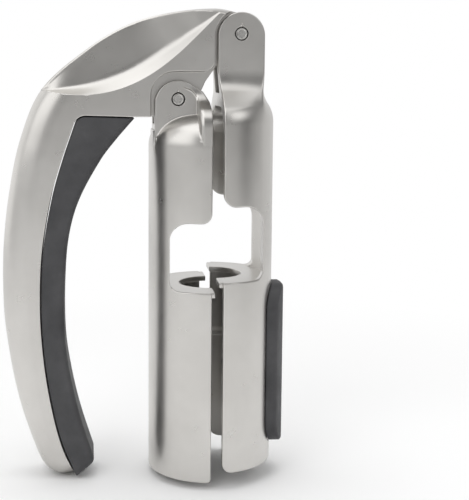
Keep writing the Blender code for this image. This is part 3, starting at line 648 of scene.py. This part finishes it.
def rimDepth(x, z):  # how far the back's rounding runs in
    if z < handle["tipTaper"]:
        share = max(0, z / handle["tipTaper"])
        return handle["tipRounding"] + (handle["backRounding"] - handle["tipRounding"]) * share
    return handle["crownRounding"] + (handle["backRounding"] - handle["crownRounding"]) * crownShare(x)


def leverBlade():  # the whole side outline, with the back rounded over
    contour = smoothCurve(handle["backLine"])
    normals = normalsOf(contour)
    normals[0] = Vector((0, -1))
    seamCurve = seam()
    normals[-1] = (Vector(seamCurve[1]) - Vector(seamCurve[0])).normalized()
    rims = []
    for (x, z), n in zip(contour, normals):
        depth = rimDepth(x, z)
        rim = []
        for angle in (1, *range(6, 91, 6)):
            across = math.radians(angle)
            inward = depth * (1 - math.cos(across))
            rim.append((x + n.x * inward, z + n.y * inward, shared["leverHalf"] * math.sin(across)))
        rims.append(rim)
    inner = [p for p in seamCurve if p[1] > rims[-1][-1][1] + 1] + handle["innerCorners"]
    return rimmedPlate("leverBody", rims, inner, shared["leverHalf"])


tongue = {  # the corners are steps from a pivot, or from the arch's underside
    "radius": 6.3, "lobe": 7.3, "upperNeck": (-7.8, -10.4), "lowerNeck": (8.3, 5.2), "heel": (-3, -0.15),
    "toe": (-6, 1), "lowerBack": (-3, 12), "upperBack": (-9, 3),
}


def leverTongue():  # thin plate in both forks, round at each pin
    upper, lower = shared["upperPivot"], shared["lowerPivot"]
    foot = (lower[0], handle["underside"])
    outline = arc(upper, tongue["radius"], 90, -125, 40)
    outline += [moved(upper, tongue["upperNeck"]), moved(lower, tongue["lowerNeck"])]
    outline += arc(lower, tongue["lobe"], 18, -46, 16)
    outline += [moved(foot, tongue["heel"]), moved(foot, tongue["toe"])]
    outline += [moved(lower, tongue["lowerBack"]), moved(upper, tongue["upperBack"])]
    return slab("leverTongue", outline, -tongueHalf, tongueHalf)


def earRecess(name, nearY, farY):  # clears the ears, with a step a little outside them
    earX, earZ = frontEar()
    gap = handle["cheekGap"]
    left = earX - shared["earRadius"] - gap - shared["clearance"]
    roof = earZ + shared["earRadius"] + 3 * gap
    right = shared["upperPivot"][0] - shared["earRadius"] - gap
    upper = (shared["upperPivot"][0], shared["upperPivot"][1] - rearJaw["earDrop"])
    corner = handle["cheekCorner"]
    path = rounded(
        [(left, earZ - far, 0), (left, roof, corner), (right, roof, corner / 2), (right, upper[1], 0)],
        closed=False,
    )
    path += arc(upper, shared["earRadius"] + gap, 180, 90, 24)[1:]
    path += [(upper[0], upper[1] + far), (far, upper[1] + far), (far, earZ - far)]
    return slab(name, path, nearY, farY)


facet = {
    "ends": (4.1, -51.3), "foot": 110, "sag": 9.2, "leastSag": 0.3, "skew": 1.25, "slopes": (0.42, 2.609),
    "turn": (0.6, 0.87), "ridgeHalf": 0.5, "ridgeRounding": 1.0, "ridgeSteps": 4, "steps": 20, "above": 4,
    "outside": 2,
}


def facetRise(t):  # nearly upright at first, then leaning outward to the crease
    upright, leaning = facet["slopes"]
    start, end = facet["turn"]
    u = min(max((t - start) / (end - start), 0), 1)
    return upright * t + (leaning - upright) * ((u**3 - u**4 / 2) * (end - start) + max(t - end, 0))


def facetCreases(tops):  # the crease bows down from the ridge's chord, deepest past the middle
    chord = tops[-1] - tops[0]
    down = Vector((-chord.y, chord.x)).normalized()
    down = -down if down.y > 0 else down
    lengths = [0]
    for a, b in zip(tops, tops[1:]):
        lengths.append(lengths[-1] + (b - a).length)
    creases = []
    for length in lengths:
        share = length / lengths[-1]
        skewed = share ** facet["skew"]
        sag = max(facet["sag"] * 4 * skewed * (1 - skewed), facet["leastSag"])
        creases.append(tops[0] + chord * share + down * sag)
    return creases


def facetSection(top, crease, width, widest):  # from the ridge, rounded over and down to the crease
    leverHalf, ridgeHalf = shared["leverHalf"], facet["ridgeHalf"]
    spread = (1 - crownShare(top.x)) * (1 - width / widest)
    topHalf = ridgeHalf + (leverHalf - ridgeHalf) * spread
    inward = max(0, 1 - width / rimDepth(*top))
    creaseHalf = leverHalf * math.sqrt(1 - inward**2)
    radius = min(facet["ridgeRounding"], width / 3, (creaseHalf - topHalf) / 3)
    along = (crease - top).normalized()
    outside = leverHalf + facet["outside"]
    above = top - along * facet["above"]
    section = [(*above, topHalf)]
    for i in range(facet["ridgeSteps"] + 1):
        turn = math.pi / 2 * i / facet["ridgeSteps"]
        section.append((*(top + along * radius * (1 - math.cos(turn))), topHalf + radius * math.sin(turn)))
    for i in range(1, facet["steps"] + 1):
        t = i / facet["steps"]
        spot = top + along * (radius + (width - radius) * t)
        section.append((*spot, topHalf + radius + (creaseHalf - topHalf - radius) * facetRise(t)))
    return section + [(*(crease + along), outside), (*above, outside)]


def leverFacet(name, side):  # hollow facet between the ridge and a crease low on the lever's side
    startX, endX = facet["ends"]
    ridge = [p for p in smoothCurve(handle["backLine"]) if p[1] > facet["foot"] and endX <= p[0] <= startX]
    tops = [Vector(point) for point in ridge]
    creases = facetCreases(tops)
    widths = [(top - crease).length for top, crease in zip(tops, creases)]
    sections = [
        facetSection(top, crease, width, max(widths)) for top, crease, width in zip(tops, creases, widths)
    ]
    return bridged(name, [[(x, side * y, z) for x, z, y in section] for section in sections])


lever = leverBlade()
carve(lever, [leverTongue()], "UNION")
carve(lever, [earRecess("frontRecess", -far, -tongueHalf), earRecess("backRecess", tongueHalf, far)])
carve(lever, [leverFacet("frontFacet", -1), leverFacet("backFacet", 1)])
softenEdges(lever, handle["edge"], handle["edgeAngle"])
carve(lever, [pinBore("upperBore", shared["upperPivot"]), pinBore("lowerBore", shared["lowerPivot"])])
print("lever shaped")

# Grip

grip = {
    "fingerLine": [  # from the arch's underside down to the foot
        (-23.1, 107.3), (-28.6, 101.0), (-33.3, 94.8), (-39.8, 82.7), (-42.8, 71.7), (-44.1, 56.5),
        (-44.0, 41.0), (-42.5, 29.9), (-39.8, 17.7), (-35.3, 3.2),
    ],
    "half": 7.7, "fingerEdge": 1.9, "foot": -1.6, "footCorner": 2.4, "edge": 0.35, "edgeAngle": 50,
}


def gripForm():  # from the seam to the finger side, which is rounded over
    back = beside(seam(), -shared["clearance"])
    foot = (handle["seamLine"][0][0] + shared["clearance"], grip["foot"])
    contour = smoothCurve(grip["fingerLine"])
    top, corner = Vector(contour[0]), Vector(contour[-1])
    edge, half = grip["fingerEdge"], grip["half"]
    contour = contour[:1] + [
        p for p in contour
        if (Vector(p) - top).length > 1.5 * edge and (Vector(p) - corner).length > 1.5 * grip["footCorner"]
    ]
    contour += rounded([(*contour[-1], 0), (*corner, grip["footCorner"]), (*foot, 0)], closed=False)[1:]
    inward = [-n for n in normalsOf(contour)]
    inward[0] = Vector((-1, 0))
    inward[-1] = (Vector(back[1]) - Vector(back[0])).normalized()
    rims = []
    for (x, z), n in zip(contour, inward):
        rim = [(x, z, 0)]
        for angle in range(0, 91, 10):
            turn = math.radians(angle)
            depth = edge * (1 - math.cos(turn))
            rim.append((x + n.x * depth, z + n.y * depth, half - edge * (1 - math.sin(turn))))
        rims.append(rim)
    rest = [p for p in back[:-1] if p[1] > grip["foot"] + edge + 1]
    return rimmedPlate("leverGrip", rims, rest, half)


gripPiece = gripForm()
softenEdges(gripPiece, grip["edge"], grip["edgeAngle"])
print("grip shaped")

# Pins

pin = {
    "headRadius": 2.7, "headHeight": 1.3, "headSide": 0.25, "recess": 0.2, "dish": 0.2, "dishEdge": 0.45,
    "lip": 0.3, "steps": 64,
}


def pinForm(name, pivot):  # dished end in the front ear, domed head behind the back one
    radius, headRadius = shared["pinRadius"], pin["headRadius"]
    start, face = pin["recess"] - shared["earHalf"], shared["earHalf"] + shared["clearance"]
    floor = start + pin["dish"]
    side = pin["headSide"]
    dome = []
    for angle in range(0, 90, 6):
        a = math.radians(angle)
        dome.append((headRadius * math.cos(a), face + pin["headHeight"] * (side + (1 - side) * math.sin(a))))
    shank = rounded(
        [
            (0, floor, 0), (radius - pin["dishEdge"], floor, 0.3), (radius - pin["lip"], start, 0.12),
            (radius, start, 0.18), (radius, face, 0.1), (headRadius, face, 0.15), (*dome[0], 0),
        ],
        closed=False,
    )
    profile = shank[:-1] + dome + [(0, face + pin["headHeight"])]
    return turned(name, profile, pin["steps"], (pivot[0], 0, pivot[1]), (0, 1, 0))


upperPin = pinForm("upperPin", shared["upperPivot"])
lowerPin = pinForm("lowerPin", shared["lowerPivot"])


# Materials

def newMaterial(name):
    material = bpy.data.materials.new(name)
    material.use_nodes = True
    nodes, links = material.node_tree.nodes, material.node_tree.links
    return material, nodes, links, nodes["Principled BSDF"]


def noise(nodes, links, scale, detail):
    coord = nodes.new("ShaderNodeTexCoord")
    texture = nodes.new("ShaderNodeTexNoise")
    texture.inputs["Scale"].default_value = scale
    texture.inputs["Detail"].default_value = detail
    texture.inputs["Roughness"].default_value = 0.6
    links.new(coord.outputs["Object"], texture.inputs["Vector"])
    return texture.outputs["Fac"]


def ranged(nodes, links, source, fromLow, fromHigh, low=0.0, high=1.0):
    scaled = nodes.new("ShaderNodeMapRange")
    scaled.inputs["From Min"].default_value = fromLow
    scaled.inputs["From Max"].default_value = fromHigh
    scaled.inputs["To Min"].default_value = low
    scaled.inputs["To Max"].default_value = high
    links.new(source, scaled.inputs["Value"])
    return scaled.outputs["Result"]


def combinedMath(nodes, links, operation, one, other):
    node = nodes.new("ShaderNodeMath")
    node.operation = operation
    for socket, value in zip(node.inputs, (one, other)):
        if isinstance(value, (int, float)):
            socket.default_value = value
        else:
            links.new(value, socket)
    return node.outputs[0]


noiseSpread = (0.3, 0.7)  # where a noise's values mostly lie
nickel = {
    "metallic": 1, "specular": 0.5, "dark": (0.58, 0.565, 0.54), "light": (0.66, 0.645, 0.62),
    "clouds": (45, 3), "roughness": (0.27, 0.32), "grain": (180, 5), "pits": (900, 2), "pitStrength": 0.012,
    "pitDepth": 0.0002,
}
rubber = {
    "metallic": 0, "specular": 0.35, "dark": (0.045, 0.045, 0.048), "light": (0.075, 0.075, 0.078),
    "clouds": (90, 4), "roughness": (0.5, 0.68), "grain": (300, 4), "pits": (4200, 3), "pitStrength": 0.12,
    "pitDepth": 0.0002,
}
rivetSteel = {
    "metallic": 1, "specular": 0.5, "dark": (0.50, 0.49, 0.47), "light": (0.66, 0.65, 0.63),
    "clouds": (700, 4), "roughness": (0.22, 0.38), "grain": (1500, 4), "pits": (3000, 4),
    "pitStrength": 0.15, "pitDepth": 0.0002,
}


def surface(name, look):  # cloudy colour, uneven roughness and fine pits
    material, nodes, links, shader = newMaterial(name)
    shader.inputs["Metallic"].default_value = look["metallic"]
    shader.inputs["Specular IOR Level"].default_value = look["specular"]
    mix = nodes.new("ShaderNodeMix")
    mix.data_type = "RGBA"
    mix.inputs["A"].default_value = (*look["dark"], 1)
    mix.inputs["B"].default_value = (*look["light"], 1)
    clouds = noise(nodes, links, *look["clouds"])
    links.new(ranged(nodes, links, clouds, *noiseSpread), mix.inputs["Factor"])
    links.new(mix.outputs["Result"], shader.inputs["Base Color"])
    grain = noise(nodes, links, *look["grain"])
    links.new(ranged(nodes, links, grain, *noiseSpread, *look["roughness"]), shader.inputs["Roughness"])
    bump = nodes.new("ShaderNodeBump")
    bump.inputs["Strength"].default_value = look["pitStrength"]
    bump.inputs["Distance"].default_value = look["pitDepth"]
    links.new(noise(nodes, links, *look["pits"]), bump.inputs["Height"])
    links.new(bump.outputs["Normal"], shader.inputs["Normal"])
    return material


metal = surface("satinNickel", nickel)
black = surface("blackRubber", rubber)
steel = surface("pinSteel", rivetSteel)
place(rear, "rear_shell", "rear_jaw", metal)
place(rearLedge, "rear_shell", "rear_jaw", metal)
place(padPiece, "rear_shell", "rear_jaw_pad", black)
place(upperPin, "rear_shell", "upper_pivot_pin", steel)
place(lever, "lever", "lever_body", metal)
place(gripPiece, "lever", "lever_grip", black)
place(lowerPin, "lever", "lower_pivot_pin", steel)
place(front, "front_shell", "front_jaw", metal)
place(frontLedge, "front_shell", "front_jaw", metal)
print("pieces dressed")

# Camera, floor and light

view = {
    "place": (-37.4, -330.0, 121.5), "yaw": 3.03, "pitch": -6.77, "sensor": 36, "focus": 1101, "height": 500,
    "shift": (0.18, -0.1),
}


def addCamera():
    data = bpy.data.cameras.new("camera")
    data.sensor_width = view["sensor"]
    data.lens = view["focus"] * data.sensor_width / view["height"]  # focus and height in the photo's pixels
    data.clip_start = 0.01
    data.shift_x, data.shift_y = view["shift"]
    camera = bpy.data.objects.new("camera", data)
    bpy.context.collection.objects.link(camera)
    camera.location = (Vector(view["place"]) + shift) * mm
    yaw, pitch = math.radians(view["yaw"]), math.radians(view["pitch"])
    ahead = Vector((math.sin(yaw) * math.cos(pitch), math.cos(yaw) * math.cos(pitch), math.sin(pitch)))
    camera.rotation_euler = ahead.to_track_quat("-Z", "Y").to_euler()
    bpy.context.scene.camera = camera


lamps = {
    "target": (0.0, 0.0, 0.07),
    "key": {"place": (-0.3, -0.45, 0.5), "size": (0.35, 0.5), "power": 1.0},
    "fill": {"place": (0.45, -0.3, 0.3), "size": (0.3, 0.5), "power": 0.4},
    "top": {"place": (0.0, 0.05, 0.6), "size": (0.5, 0.35), "power": 1.5},
    "world": 0.6,
}


def addLamp(name):  # soft lamp that the metal doesn't mirror
    lamp = lamps[name]
    data = bpy.data.lights.new(name, "AREA")
    data.shape = "RECTANGLE"
    data.size, data.size_y = lamp["size"]
    data.energy = lamp["power"]
    light = bpy.data.objects.new(name, data)
    bpy.context.collection.objects.link(light)
    light.location = lamp["place"]
    ahead = Vector(lamps["target"]) - light.location
    light.rotation_euler = ahead.to_track_quat("-Z", "Y").to_euler()
    light.visible_glossy = False


def whiteWorld():
    world = bpy.data.worlds.new("studio")
    bpy.context.scene.world = world
    world.use_nodes = True
    nodes, links = world.node_tree.nodes, world.node_tree.links
    background = nodes["Background"]
    background.inputs["Color"].default_value = (1, 1, 1, 1)
    path = nodes.new("ShaderNodeLightPath")
    seen = path.outputs["Is Camera Ray"]
    for kind in ("Is Glossy Ray", "Is Transmission Ray"):
        seen = combinedMath(nodes, links, "MAXIMUM", seen, path.outputs[kind])
    links.new(ranged(nodes, links, seen, 0, 1, lamps["world"], 1), background.inputs["Strength"])


def fadeBetween(nodes, links, *values):
    fade = ranged(nodes, links, *values)
    fade.node.interpolation_type = "SMOOTHSTEP"
    return fade


pale = {"half": 3, "drop": 0.0002, "shade": 0.93, "roughness": 0.7, "specular": 0.1, "fade": (0.07, 0.28)}


def paleFloor():  # keeps the shadow near the part and is plain white farther off
    bm = bmesh.new()
    bmesh.ops.create_grid(bm, x_segments=1, y_segments=1, size=pale["half"])
    mesh = bpy.data.meshes.new("floor")
    bm.to_mesh(mesh)
    bm.free()
    floor = bpy.data.objects.new("floor", mesh)
    bpy.context.collection.objects.link(floor)
    floor.location.z = -pale["drop"]
    material, nodes, links, shader = newMaterial("paleFloor")
    shader.inputs["Base Color"].default_value = (pale["shade"], pale["shade"], pale["shade"], 1)
    shader.inputs["Roughness"].default_value = pale["roughness"]
    shader.inputs["Specular IOR Level"].default_value = pale["specular"]
    coord = nodes.new("ShaderNodeTexCoord")
    distance = nodes.new("ShaderNodeVectorMath")
    distance.operation = "LENGTH"
    links.new(coord.outputs["Object"], distance.inputs[0])
    path = nodes.new("ShaderNodeLightPath")
    away = fadeBetween(nodes, links, distance.outputs["Value"], *pale["fade"])
    white = nodes.new("ShaderNodeEmission")
    mix = nodes.new("ShaderNodeMixShader")
    links.new(combinedMath(nodes, links, "MULTIPLY", away, path.outputs["Is Camera Ray"]), mix.inputs["Fac"])
    links.new(shader.outputs["BSDF"], mix.inputs[1])
    links.new(white.outputs["Emission"], mix.inputs[2])
    links.new(mix.outputs["Shader"], nodes["Material Output"].inputs["Surface"])
    mesh.materials.append(material)


screen = {  # a fade has the two places that it runs between, and then the level at each
    "radius": 0.6, "top": 1.5, "steps": 72,
    "low": (0.0, 0.12, 0.62, 0.44), "high": (0.2, 0.5, 0.0, -0.22), "behind": (0.45, 0.85, 0.9, 0.5),
    "behindDepth": (-0.1, 0.25), "sides": (-0.6, 0.6, 1.2, 0.85),
    "dark": {"angle": 60, "edge": (0, 22), "foot": (-0.08, 0.03), "share": 0.85},
    "ceiling": {"height": (0.8, 1.25), "level": (-0.1, 0.3, 1.1, 0.72)},
    "leftBox": {"angle": -64, "edge": (22, 32), "foot": (0.1, 0.3), "level": 1.45},
    "rightBox": {"angle": 50, "edge": (8, 22), "foot": (0.15, 0.45), "top": (0.8, 1.0, 1, 0), "level": 1.5},
    "crownBox": {"across": (-0.2, 0.0, 1, 0), "height": (0.75, 1.05), "lean": 0.35, "level": 1.6},
}


def studioScreen():  # grey room of the studio, seen only in the metal
    bm = bmesh.new()
    foot = bm.verts.new((0, -screen["radius"], 0))
    corner = bm.verts.new((0, -screen["radius"], screen["top"]))
    middle = bm.verts.new((0, 0, screen["top"]))
    edges = [bm.edges.new((foot, corner)), bm.edges.new((corner, middle))]
    bmesh.ops.spin(
        bm, geom=[foot, corner, middle] + edges, axis=(0, 0, 1), angle=math.tau, steps=screen["steps"],
        use_merge=True, use_duplicate=False,
    )
    mesh = bpy.data.meshes.new("studioScreen")
    bm.to_mesh(mesh)
    bm.free()
    wall = bpy.data.objects.new("studioScreen", mesh)
    bpy.context.collection.objects.link(wall)
    material, nodes, links, shader = newMaterial("studioScreen")

    def fade(source, *values):
        return fadeBetween(nodes, links, source, *values)

    def combined(operation, one, other):
        return combinedMath(nodes, links, operation, one, other)

    coord = nodes.new("ShaderNodeTexCoord")
    parts = nodes.new("ShaderNodeSeparateXYZ")
    links.new(coord.outputs["Object"], parts.inputs["Vector"])
    across, depth, height = (parts.outputs[axis] for axis in "XYZ")
    turn = combined("ARCTAN2", across, combined("MULTIPLY", depth, -1))

    def aside(box):  # share of the room round one direction
        inner, outer = (math.radians(angle) for angle in box["edge"])
        offset = combined("ABSOLUTE", combined("SUBTRACT", turn, math.radians(box["angle"])), 0)
        return combined("MULTIPLY", fade(offset, inner, outer, 1, 0), fade(height, *box["foot"]))

    def toward(level, share, value):
        return combined("ADD", level, combined("MULTIPLY", share, combined("SUBTRACT", value, level)))

    dark, ceiling, crown = screen["dark"], screen["ceiling"], screen["crownBox"]
    leftBox, rightBox = screen["leftBox"], screen["rightBox"]
    ahead = combined("ADD", fade(height, *screen["low"]), fade(height, *screen["high"]))
    level = toward(ahead, fade(depth, *screen["behindDepth"]), fade(height, *screen["behind"]))
    level = combined("MULTIPLY", level, fade(across, *screen["sides"]))
    level = toward(level, combined("MULTIPLY", aside(dark), dark["share"]), 0)
    level = toward(level, fade(height, *ceiling["height"]), fade(depth, *ceiling["level"]))
    level = toward(level, aside(leftBox), leftBox["level"])
    rightShape = combined("MULTIPLY", aside(rightBox), fade(height, *rightBox["top"]))
    level = toward(level, rightShape, rightBox["level"])
    raised = combined("ADD", height, combined("MULTIPLY", depth, crown["lean"]))
    crownShape = combined("MULTIPLY", fade(across, *crown["across"]), fade(raised, *crown["height"]))
    wallLevel = toward(level, crownShape, crown["level"])
    glow = nodes.new("ShaderNodeEmission")
    links.new(wallLevel, glow.inputs["Strength"])
    links.new(glow.outputs["Emission"], nodes["Material Output"].inputs["Surface"])
    mesh.materials.append(material)
    for ray in ("camera", "diffuse", "transmission", "shadow", "volume_scatter"):
        setattr(wall, "visible_" + ray, False)


addCamera()
whiteWorld()
paleFloor()
studioScreen()
for lampName in ("key", "fill", "top"):
    addLamp(lampName)
bpy.context.scene.view_settings.view_transform = "Standard"
print("camera, floor and light set")
